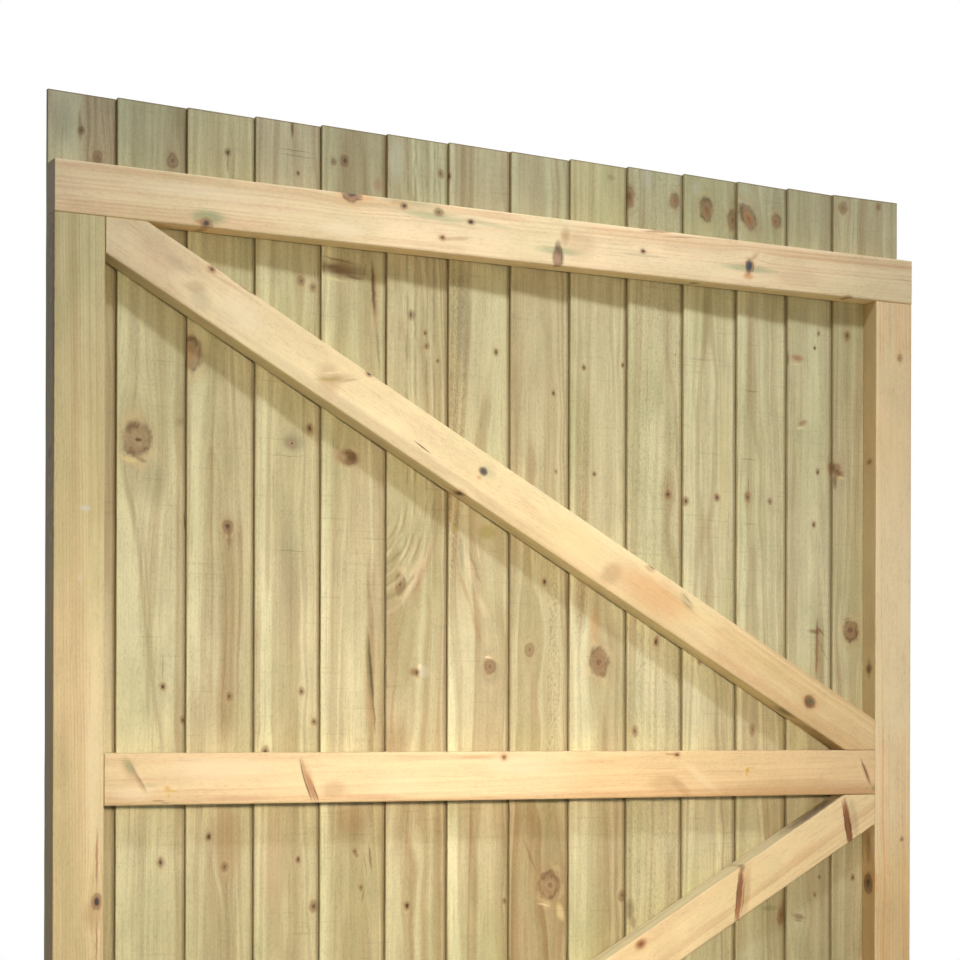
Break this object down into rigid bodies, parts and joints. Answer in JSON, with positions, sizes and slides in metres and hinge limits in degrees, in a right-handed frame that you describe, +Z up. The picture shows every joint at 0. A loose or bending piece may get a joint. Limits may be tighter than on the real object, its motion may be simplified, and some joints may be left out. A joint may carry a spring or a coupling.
{
  "type": "wooden garden gate leaf",
  "caption": "Framed, ledged and braced timber garden gate leaf, clad with lapped feather-edge boards that stand above its top rail.",
  "frame": {"origin": "on the outer face of the hinge stile (left, seen from the framed side), halfway up the leaf and in the middle of the frame's thickness", "axes": "+X along the leaf from the hinge edge to the closing edge, -Y out of the framed side and +Y out of the boarded side, +Z up"},
  "size_m": [1.4, 0.057, 1.83],
  "materials": {
    "frame_timber": "planed softwood, warm cream with fine lengthwise grain",
    "board_timber": "rough-sawn pressure-treated softwood, green-yellow to tan",
    "nails": "dull galvanised"
  },
  "bodies": {
    "root": {"top_rail": "frame_timber", "mid_rail": "frame_timber", "bottom_rail": "frame_timber", "left_stile": "frame_timber", "right_stile": "frame_timber", "upper_brace": "frame_timber", "lower_brace": "frame_timber", "board_01": "board_timber", "board_02": "board_timber", "board_03": "board_timber", "board_04": "board_timber", "board_05": "board_timber", "board_06": "board_timber", "board_07": "board_timber", "board_08": "board_timber", "board_09": "board_timber", "board_10": "board_timber", "board_11": "board_timber", "board_12": "board_timber", "board_13": "board_timber", "board_14": "board_timber"}
  },
  "joints": []
}
